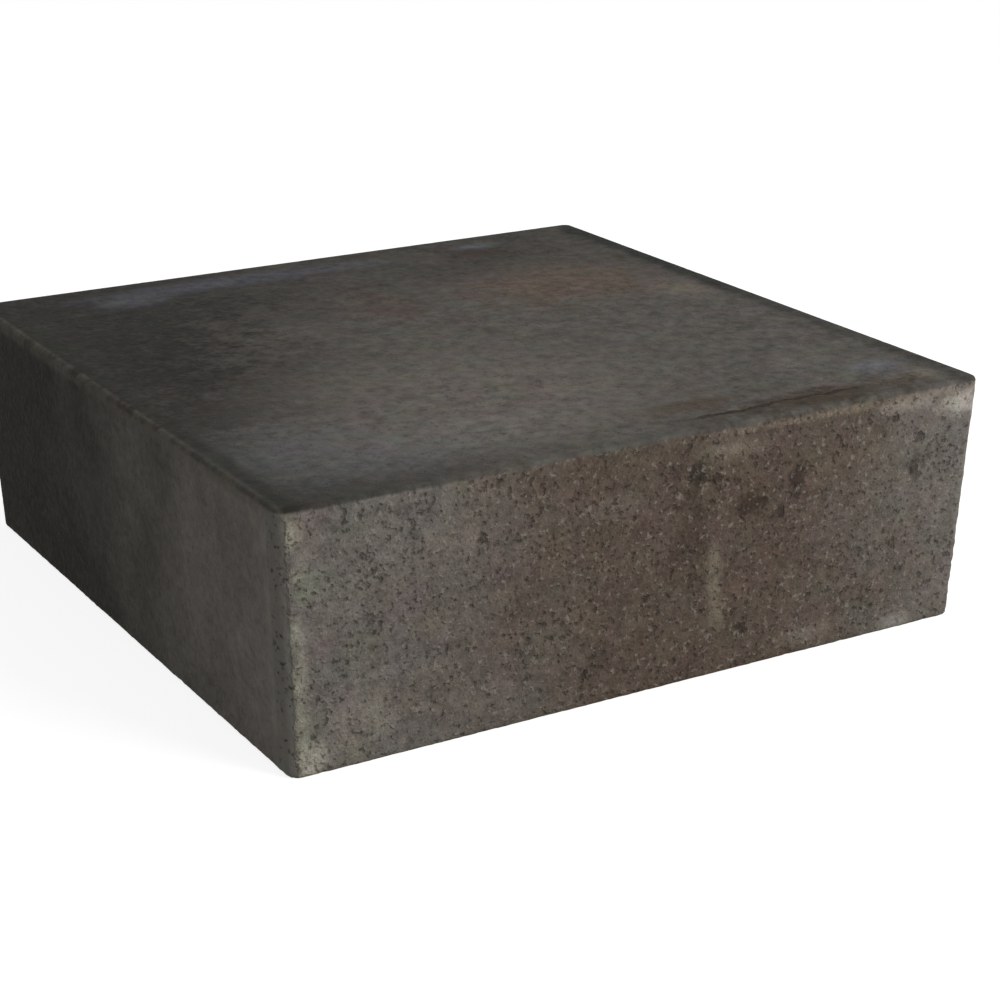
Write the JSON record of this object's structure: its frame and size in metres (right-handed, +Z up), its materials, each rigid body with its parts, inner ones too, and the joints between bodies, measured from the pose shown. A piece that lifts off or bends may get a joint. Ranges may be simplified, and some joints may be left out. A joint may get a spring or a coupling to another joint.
{
  "type": "concrete step block",
  "caption": "Solid square concrete block laid as a step: flat tread, plain rough riser, walls drawn in slightly to the underside, rounded upright corners.",
  "frame": {"origin": "centre of the underside, on the floor", "axes": "+Z up, +X along the riser, +Y from the riser to the back of the tread"},
  "size_m": [0.4566, 0.4566, 0.152],
  "materials": {
    "concrete": "dry-cast concrete, open-grained on the riser and trowel-smooth on the tread"
  },
  "bodies": {
    "root": {"step_block": "concrete"}
  },
  "joints": []
}
